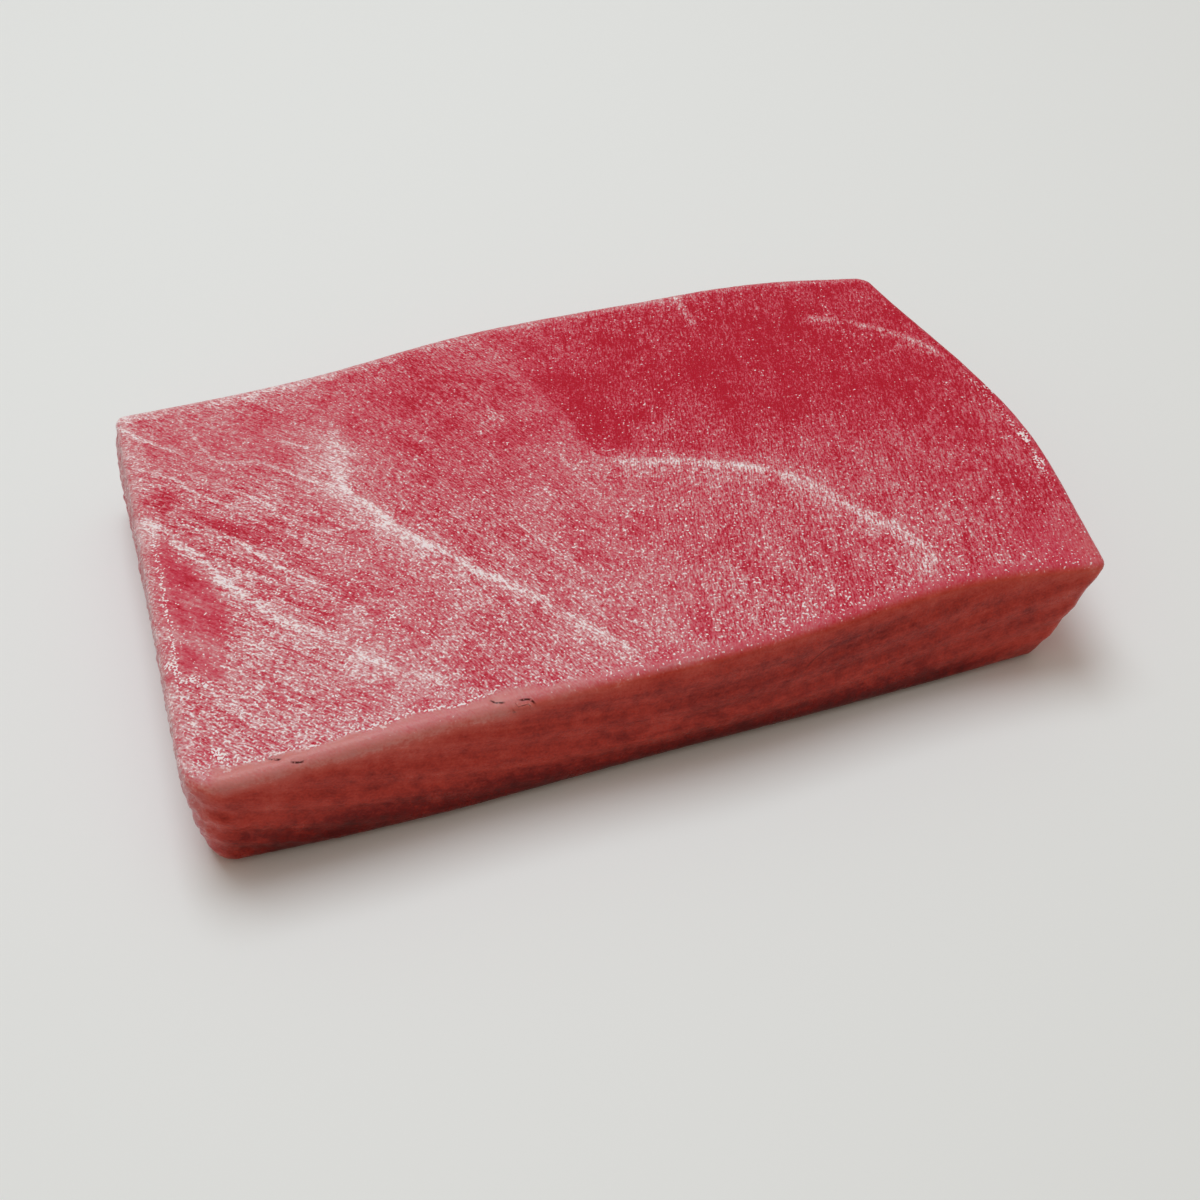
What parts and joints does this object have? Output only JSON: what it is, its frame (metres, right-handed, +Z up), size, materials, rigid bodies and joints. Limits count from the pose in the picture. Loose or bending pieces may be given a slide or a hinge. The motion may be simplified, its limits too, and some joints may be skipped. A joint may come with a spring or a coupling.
{
  "type": "tuna belly block",
  "caption": "Trimmed block of raw tuna belly with marbled red flesh, slanting knife-cut ends and a flat underside.",
  "frame": {"origin": "on the surface the block lies on, under the middle of its box", "axes": "+X along the block's length towards its undercut end, +Y from the front face to the back face, +Z up out of the cut top face"},
  "size_m": [0.1512, 0.0888, 0.0227],
  "materials": {
    "raw_tuna_flesh": "moist raw fish flesh, deep pink-red with paler fat marbling and white sinews"
  },
  "bodies": {
    "root": {"tuna_belly_block": "raw_tuna_flesh"}
  },
  "joints": []
}
